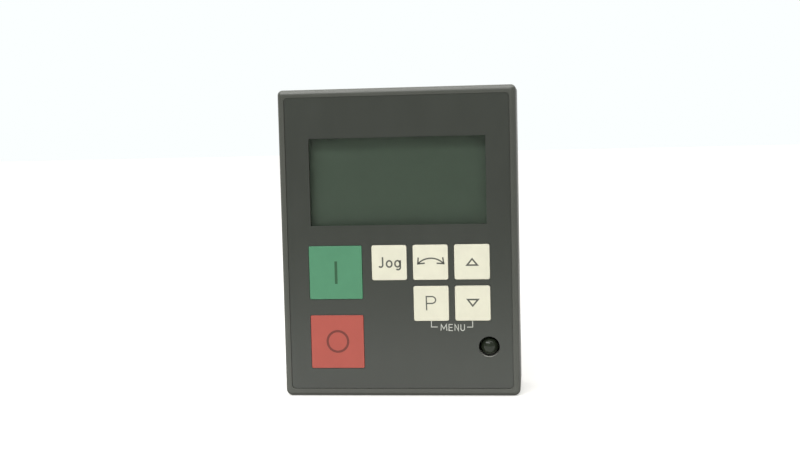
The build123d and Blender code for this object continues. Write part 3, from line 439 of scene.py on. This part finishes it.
def make_materials():
    """One finish for each of the record's slots, and one for each ink."""
    return {
        # dust sets the paler grey on upward faces, partly dust and partly painted light from above.
        "housing": moulded_plastic("housing", (0.053, 0.057, 0.046), 0.40, dust=0.30),
        "foil": printed_foil("foil", (0.0275, 0.0320, 0.0245)),
        "window": clear_pane("window"),
        "key_green": key_plastic("key_green", (0.070, 0.245, 0.130)),
        "key_red": key_plastic("key_red", (0.41, 0.078, 0.056)),
        "key_cream": key_plastic("key_cream", (0.74, 0.725, 0.58)),
        "label": paper_label("label", (0.72, 0.72, 0.68)),
        "black_plastic": moulded_plastic("black_plastic", (0.022, 0.022, 0.024), 0.42, wear=2.2),
        "insulator": moulded_plastic("insulator", (0.018, 0.018, 0.019), 0.38, wear=1.8),
        "tin": plated_metal("tin", (0.66, 0.65, 0.62), 0.30, (0.3, 1.0, 1.0)),
        "steel": plated_metal("steel", (0.58, 0.57, 0.53), 0.32, (1.0, 0.25, 1.0)),
        "nickel": plated_metal("nickel", (0.68, 0.65, 0.58), 0.22, (1.0, 0.3, 1.0)),
        "gold": plated_metal("gold", (0.83, 0.60, 0.25), 0.2, (1.0, 0.3, 1.0)),
        "dome_metal": plated_metal("dome_metal", (0.60, 0.59, 0.56), 0.25, (0.2, 1.0, 1.0)),
        "lcd_frame": moulded_plastic("lcd_frame", (0.016, 0.016, 0.015), 0.45, wear=2.0),
        "lcd_glass": display_glass("lcd_glass", (0.10, 0.13, 0.10)),
        "lcd_film": display_film("lcd_film", (0.120, 0.160, 0.130)),
        "backlight": moulded_plastic("backlight", (0.70, 0.72, 0.66), 0.3, wear=1.0),
        "zebra": striped_rubber("zebra", (0.25, 0.10, 0.09)),
        "board": circuit_board("board", (0.015, 0.10, 0.045)),
        "resin": moulded_plastic("resin", (0.010, 0.010, 0.011), 0.22, grain=1.2 * MM, wear=1.4),
        "chip_body": moulded_plastic("chip_body", (0.020, 0.020, 0.022), 0.55, grain=0.15 * MM, wear=2.0),
        "ceramic": moulded_plastic("ceramic", (0.42, 0.33, 0.22), 0.5, grain=0.12 * MM),
        "resistor": moulded_plastic("resistor", (0.03, 0.03, 0.035), 0.3, grain=0.2 * MM, wear=3.0),
        "can": plated_metal("can", (0.72, 0.72, 0.72), 0.3, (1.0, 0.1, 1.0)),
        "lamp": lamp_lens("lamp", (0.021, 0.027, 0.017)),
        "dark_ink": printing_ink("dark_ink", (0.075, 0.078, 0.062)),
        "deep_green_ink": printing_ink("deep_green_ink", (0.009, 0.072, 0.024)),
        "deep_red_ink": printing_ink("deep_red_ink", (0.135, 0.018, 0.010)),
        "pale_ink": printing_ink("pale_ink", (0.50, 0.51, 0.46)),
    }


def dress_cad_nodes(materials):
    """Gives every CAD node the finish that the record names for it."""
    for entry in frame["record"]["subparts"]:
        node = frame["nodes"][entry["node"]]
        node.data.materials.clear()
        node.data.materials.append(materials[entry["material_slot"]])


def add_piece(name, mesh, body, slot, materials, smooth=True):
    """Turns a finished bmesh into a piece that rides on a body, with one finish."""
    bmesh.ops.recalc_face_normals(mesh, faces=mesh.faces)
    data = bpy.data.meshes.new(name)
    mesh.to_mesh(data)
    mesh.free()
    if smooth:
        data.shade_smooth()
    data.materials.append(materials[slot])
    piece = bpy.data.objects.new(name, data)
    bpy.context.scene.collection.objects.link(piece)
    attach(piece, body)
    return piece


# ---------------------------------------------------------------- printed legends
INK_DEPTH = 0.02 * MM
KEY_INKS = {"run": "deep_green_ink", "stop": "deep_red_ink"}
ARC_STEP = math.radians(9)
MITRE_COSINE = 0.35  # a sharper corner is cut short, so that it doesn't run out into a spike


def arc(x, z, radius, start, end, radius_z=None):
    """Points round an arc, in degrees from +X towards +Z."""
    span = math.radians(end - start)
    steps = max(3, math.ceil(abs(span) / ARC_STEP))
    tall = radius if radius_z is None else radius_z
    angles = [math.radians(start) + span * i / steps for i in range(steps + 1)]
    return [(x + radius * math.cos(a), z + tall * math.sin(a)) for a in angles]


def stroke_edges(points, half, closed):
    """The left and right edges of a stroke of even width along points, with mitred corners."""
    count = len(points)
    left, right = [], []
    for i, (x, z) in enumerate(points):
        before = points[i - 1] if closed or i > 0 else None
        after = points[(i + 1) % count] if closed or i < count - 1 else None
        here = Vector((x, z))
        into = (here - Vector(before)).normalized() if before else None
        out = (Vector(after) - here).normalized() if after else into
        into = into or out
        side = Vector((-into.y - out.y, into.x + out.x)).normalized()
        reach = half / max(MITRE_COSINE, side.dot(Vector((-into.y, into.x))))
        left.append(here + side * reach)
        right.append(here - side * reach)
    return left, right


def add_stroke(mesh, points, width, surface_y, closed=False):
    """One closed ribbon of ink, half of its thickness proud of the surface."""
    left, right = stroke_edges(points, width / 2, closed)
    front_y, back_y = surface_y - INK_DEPTH, surface_y + INK_DEPTH
    rings = []
    for a, b in zip(left, right):
        corners = ((a, front_y), (b, front_y), (b, back_y), (a, back_y))
        rings.append([mesh.verts.new((p.x * MM, y, p.y * MM)) for p, y in corners])
    pairs = list(zip(rings, rings[1:]))
    if closed:
        pairs.append((rings[-1], rings[0]))
    for one, two in pairs:
        for i in range(4):
            j = (i + 1) % 4
            mesh.faces.new((one[i], one[j], two[j], two[i]))
    if not closed:
        mesh.faces.new(rings[0][::-1])
        mesh.faces.new(rings[-1])


def print_legend(name, strokes, surface_y, body, slot, materials):
    """Strokes are (points in panel millimetres, width, closed)."""
    mesh = bmesh.new()
    for points, width, closed in strokes:
        add_stroke(mesh, points, width, surface_y, closed)
    add_piece(name, mesh, body, slot, materials, smooth=False)


def key_legends():
    """The mark on each key, in panel millimetres: x from the centre line, z from the foot."""
    run, stop = key_face("run") / MM, key_face("stop") / MM
    letter, line, thin = 0.48, 0.44, 0.38  # widths of the strokes
    jog = [
        ([(-5.03, 43.30), (-5.00, 40.85)] + arc(-5.62, 40.80, 0.60, 0, -150), letter, False),
        (arc(-3.00, 41.17, 0.82, 0, 360, 0.97)[:-1], letter, True),
        (arc(-0.45, 41.20, 0.78, 0, 360, 0.95)[:-1], letter, True),
        ([(0.40, 42.28), (0.42, 40.15)] + arc(-0.30, 40.10, 0.72, 0, -135), letter, False),
    ]
    bow = arc(9.80, 37.25, 5.55, 136, 44)
    reverse = [
        (bow, line, False),
        ([(5.98, 43.05), bow[0], (7.98, 41.30)], line, False),
        ([(13.50, 43.05), bow[-1], (11.60, 41.25)], line, False),
    ]
    up = [([(20.85, 40.55), (24.0, 40.55), (22.45, 42.45)], letter, True)]
    down = [([(20.9, 29.98), (22.38, 28.0), (24.05, 29.98)], letter, True)]
    bowl = arc(9.85, 29.93, 1.20, 90, -90, 1.06)
    program = [([(8.25, 26.75), (8.18, 30.99)] + bowl + [(8.35, 28.87)], thin, False)]
    return {
        "run": [([(run.x + 0.1, run.z - 3.5), (run.x + 0.1, run.z + 3.5)], 0.84, False)],
        "stop": [(arc(stop.x + 0.1, stop.z + 0.1, 3.22, 0, 360)[:-1], 0.70, True)],
        "jog": jog,
        "reverse": reverse,
        "up": up,
        "program": program,
        "down": down,
    }


def menu_legend():
    """Letters and the bracket that ties two keys together, printed on the foil."""
    low, high, thin = 20.42, 22.32, 0.25
    bracket_left = [(9.60, 23.4), (9.58, 21.56), (11.5, 21.56)]
    bracket_right = [(20.5, 21.47), (22.25, 21.47), (22.24, 23.4)]
    m = [(12.50, low), (12.62, high), (13.38, low + 0.55), (14.20, high), (14.32, low)]
    e_side = [(16.15, high), (14.98, high), (14.98, low), (16.15, low)]
    n = [(16.80, low), (16.80, high), (17.85, low), (17.85, high)]
    u = [(18.62, high), (18.62, low + 0.55)] + arc(19.18, low + 0.55, 0.56, 180, 360) + [(19.74, high)]
    strokes = [bracket_left, bracket_right, m, e_side, [(14.98, 21.4), (16.0, 21.4)], n, u]
    return [(points, thin, False) for points in strokes]


def label_ruling():
    """The empty form on the back label: a border, four rules and one divider, with no lettering."""
    low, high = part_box("rating_label")
    margin, rows, line, split = 1.6, 5, 0.18, 0.42
    left, right = low.x / MM + margin, high.x / MM - margin
    foot, top = low.z / MM + margin, high.z / MM - margin
    divider = left + (right - left) * split
    strokes = [([(left, foot), (right, foot), (right, top), (left, top)], line * 1.5, True)]
    for row in range(1, rows):
        z = foot + (top - foot) * row / rows
        strokes.append(([(left, z), (right, z)], line, False))
    strokes.append(([(divider, foot), (divider, top)], line, False))
    return strokes


def print_all_legends(materials):
    """The marks on the keys, the word on the foil and the empty form on the back label."""
    for name, strokes in key_legends().items():
        slot = KEY_INKS.get(name, "dark_ink")
        print_legend(f"{name}_legend", strokes, key_face(name).y, f"{name}_button", slot, materials)
    print_legend("menu_legend", menu_legend(), FOIL_FRONT, "root", "pale_ink", materials)
    label_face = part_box("rating_label")[1].y
    print_legend("label_ruling", label_ruling(), label_face, "root", "dark_ink", materials)


COIL_TURNS = 7.5
COIL_CLOSED = 1.0  # turns laid flat at each end
COIL_STEPS = 28  # sections in one turn
WIRE_SIDES = 12
WIRE_R = 0.2 * MM


def coil_height(turn, low, high):
    """Where a turn of the coil lies: the end turns are closed, and the pitch between them is even."""
    climb = high - low - 2 * COIL_CLOSED * 2 * WIRE_R
    if turn < COIL_CLOSED:
        return low + turn * 2 * WIRE_R
    if turn > COIL_TURNS - COIL_CLOSED:
        return high - (COIL_TURNS - turn) * 2 * WIRE_R
    share = (turn - COIL_CLOSED) / (COIL_TURNS - 2 * COIL_CLOSED)
    return low + COIL_CLOSED * 2 * WIRE_R + climb * share


def make_catch_spring(materials):
    """The coil that lifts the catch, as tall as the CAD spring that it replaces."""
    low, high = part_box("catch_spring")
    centre = (low + high) / 2
    radius = (high.x - low.x) / 2 - WIRE_R
    foot, top = low.z + WIRE_R, high.z - WIRE_R
    mesh = bmesh.new()
    rings = []
    for i in range(round(COIL_TURNS * COIL_STEPS) + 1):
        turn = i / COIL_STEPS
        angle = 2 * math.pi * turn
        out = Vector((math.cos(angle), math.sin(angle), 0.0))
        middle = Vector((centre.x, centre.y, coil_height(turn, foot, top))) + out * radius
        ring = []
        for side in range(WIRE_SIDES):
            around = 2 * math.pi * side / WIRE_SIDES
            reach = out * math.cos(around) + Vector((0.0, 0.0, math.sin(around)))
            ring.append(mesh.verts.new(middle + reach * WIRE_R))
        rings.append(ring)
    for one, two in zip(rings, rings[1:]):
        for side in range(WIRE_SIDES):
            after = (side + 1) % WIRE_SIDES
            mesh.faces.new((one[side], one[after], two[after], two[side]))
    mesh.faces.new(rings[0])
    mesh.faces.new(rings[-1][::-1])
    spring = add_piece("catch_coil_spring", mesh, "root", "steel", materials)
    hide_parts("catch_spring")
    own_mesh(spring)


DOME_SHEET = 0.1 * MM
DOME_RINGS = 8
DOME_SIDES = 40
WELD = 0.001 * MM  # joins the rims of a dome's two skins


def add_cap(mesh, centre, foot_y, radius, rise, inset):
    """One skin of a dome: rings from the crown out to the rim, down a cosine curve."""
    rings = []
    for i in range(1, DOME_RINGS + 1):
        share = i / DOME_RINGS
        y = foot_y - (rise - inset) * (1.0 + math.cos(math.pi * share)) / 2
        ring = []
        for j in range(DOME_SIDES):
            angle = 2 * math.pi * j / DOME_SIDES
            x = centre.x + radius * share * math.cos(angle)
            z = centre.z + radius * share * math.sin(angle)
            ring.append(mesh.verts.new((x, y, z)))
        rings.append(ring)
    crown = mesh.verts.new((centre.x, foot_y - (rise - inset), centre.z))
    for j in range(DOME_SIDES):
        k = (j + 1) % DOME_SIDES
        mesh.faces.new((crown, rings[0][j], rings[0][k]))
        for one, two in zip(rings, rings[1:]):
            mesh.faces.new((one[j], two[j], two[k], one[k]))


def make_switch_domes(materials):
    """The sprung dome in each switch, built at rest in place of the CAD domes."""
    low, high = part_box("switch_domes")
    rise = high.y - low.y
    first_low, first_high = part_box("run_switch_stem")
    radius = (first_low.x + first_high.x) / 2 - low.x
    for name in KEYS:
        stem_low, stem_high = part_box(f"{name}_switch_stem")
        centre = (stem_low + stem_high) / 2
        mesh = bmesh.new()
        for inset in (0.0, DOME_SHEET):
            add_cap(mesh, centre, high.y, radius, rise, inset)
        bmesh.ops.remove_doubles(mesh, verts=mesh.verts, dist=WELD)
        dome = add_piece(f"{name}_switch_dome", mesh, "root", "dome_metal", materials)
        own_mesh(dome)
    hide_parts("switch_domes")


# ---------------------------------------------------------------- stage
BACKDROP_COLOUR = (0.965, 1.0, 1.0, 1.0)
STUDIO_COLOUR = (1.0, 1.0, 0.985, 1.0)
WORLD_FRONT = 0.60
WORLD_BACK = 0.90
WORLD_TURN = -0.2  # where the brightness starts to rise, as the Y of a direction

FLOOR_COLOUR = (0.93, 0.92, 0.90)
FLOOR_GLOW_COLOUR = (1.0, 0.99, 0.96, 1.0)
FLOOR_GLOW = 0.05  # the floor's emission, as it lights the panel
FLOOR_WHITE = 0.40  # the same, as the camera sees it
FLOOR_FRONT = 0.30  # how far it comes out in front
FLOOR_REACH = 4.0  # to each side, and behind
FLOOR_DROP = 0.05 * MM

KEY_LIGHT_POWER = 9.9
KEY_LIGHT_AZIMUTH = -22.0  # from straight ahead towards +X
KEY_LIGHT_ELEVATION = 42.0
KEY_LIGHT_DISTANCE = 1.3
KEY_LIGHT_WIDTH = 1.1
KEY_LIGHT_HEIGHT = 0.3

CARD_POWER = 0.175
CARD_GAP = 0.5 * MM  # from the panel's front to the card's near edge
CARD_REACH = 120 * MM  # from the panel's front to the card's far edge
CARD_WIDTH = 440 * MM
CARD_LIFT = 0.3 * MM

CEILING_POWER = 7.0
CEILING_WIDTH = 1.2
CEILING_DEPTH = 0.5
CEILING_AHEAD = 0.15
CEILING_HEIGHT = 0.6


def make_floor():
    """A white floor that shows white all the way back, with a faint relief of its own."""
    mesh = bmesh.new()
    left, right, front, back = -FLOOR_REACH, FLOOR_REACH, -FLOOR_FRONT, FLOOR_REACH
    corners = [(left, front), (right, front), (right, back), (left, back)]
    mesh.faces.new([mesh.verts.new((x, y, -FLOOR_DROP)) for x, y in corners])
    data = bpy.data.meshes.new("floor")
    mesh.to_mesh(data)
    mesh.free()
    paint = Surface("floor", FLOOR_COLOUR, 0.7, specular=0.2)
    paint.set("Emission Color", FLOOR_GLOW_COLOUR)
    seen = paint.add("ShaderNodeLightPath").outputs["Is Camera Ray"]
    glow = paint.spread(seen, FLOOR_GLOW, FLOOR_WHITE, from_low=0.0, from_high=1.0)
    paint.link(glow, paint.shader.inputs["Emission Strength"])
    paint.relief(paint.noise(1.5 * MM, 3.0), 0.02 * MM)
    data.materials.append(paint.finish())
    floor = bpy.data.objects.new("floor", data)
    bpy.context.scene.collection.objects.link(floor)


def make_world():
    """A white studio: brighter behind the panel than in front of it, and white to the eye."""
    world = bpy.data.worlds.new("studio")
    bpy.context.scene.world = world
    world.use_nodes = True
    nodes, links = world.node_tree.nodes, world.node_tree.links
    seen = nodes["Background"]
    seen.inputs["Color"].default_value = BACKDROP_COLOUR
    seen.inputs["Strength"].default_value = 1.0
    lit = nodes.new("ShaderNodeBackground")
    lit.inputs["Color"].default_value = STUDIO_COLOUR
    direction = nodes.new("ShaderNodeSeparateXYZ")
    links.new(nodes.new("ShaderNodeTexCoord").outputs["Generated"], direction.inputs["Vector"])
    behind = nodes.new("ShaderNodeMapRange")
    behind.inputs["From Min"].default_value = WORLD_TURN
    behind.inputs["To Min"].default_value = WORLD_FRONT
    behind.inputs["To Max"].default_value = WORLD_BACK
    links.new(direction.outputs["Y"], behind.inputs["Value"])
    links.new(behind.outputs["Result"], lit.inputs["Strength"])
    to_eye = nodes.new("ShaderNodeLightPath").outputs["Is Camera Ray"]
    mix = nodes.new("ShaderNodeMixShader")
    links.new(to_eye, mix.inputs["Fac"])
    links.new(lit.outputs["Background"], mix.inputs[1])
    links.new(seen.outputs["Background"], mix.inputs[2])
    links.new(mix.outputs["Shader"], nodes["World Output"].inputs["Surface"])


def area_light(name, width, height, power, place):
    """A rectangular light that shines down from its place until it is turned."""
    data = bpy.data.lights.new(name, "AREA")
    data.shape = "RECTANGLE"
    data.size = width
    data.size_y = height
    data.energy = power
    light = bpy.data.objects.new(name, data)
    light.location = place
    bpy.context.scene.collection.objects.link(light)
    return light


def show_only_in_gloss(light):
    """Hides a light from the camera, from matt surfaces and from clear ones."""
    light.visible_camera = False
    light.visible_diffuse = False
    light.visible_transmission = False


def make_bounce_card():
    """A lit card that lies in front of the foot of the panel, and shines upwards."""
    near, far = PANEL_LOW.y - CARD_GAP, PANEL_LOW.y - CARD_REACH
    place = (0.0, (near + far) / 2, CARD_LIFT)
    card = area_light("bounce_card", CARD_WIDTH, near - far, CARD_POWER, place)
    card.rotation_euler = (math.radians(180), 0.0, 0.0)
    show_only_in_gloss(card)


def make_ceiling():
    """A wide light overhead, for the top edge and the lamp."""
    place = (0.0, PANEL_LOW.y - CEILING_AHEAD, CEILING_HEIGHT)
    show_only_in_gloss(area_light("ceiling", CEILING_WIDTH, CEILING_DEPTH, CEILING_POWER, place))


def make_key_light():
    """A softbox above and to the left, turned to the panel's middle."""
    centre = Vector((0.0, 0.0, PANEL_HEIGHT / 2))
    turn, lift = math.radians(KEY_LIGHT_AZIMUTH), math.radians(KEY_LIGHT_ELEVATION)
    flat = math.cos(lift)
    away = Vector((math.sin(turn) * flat, -math.cos(turn) * flat, math.sin(lift)))
    place = centre + away * KEY_LIGHT_DISTANCE
    softbox = area_light("upper_left", KEY_LIGHT_WIDTH, KEY_LIGHT_HEIGHT, KEY_LIGHT_POWER, place)
    softbox.rotation_euler = (-away).to_track_quat("-Z", "Y").to_euler()


def make_stage():
    """The floor, the studio round it and the lights, with colours shown as they are."""
    make_floor()
    make_world()
    make_bounce_card()
    make_ceiling()
    make_key_light()
    bpy.context.scene.view_settings.view_transform = "Standard"


make_camera()
finishes = make_materials()
dress_cad_nodes(finishes)
print_all_legends(finishes)
make_catch_spring(finishes)
make_switch_domes(finishes)
make_stage()
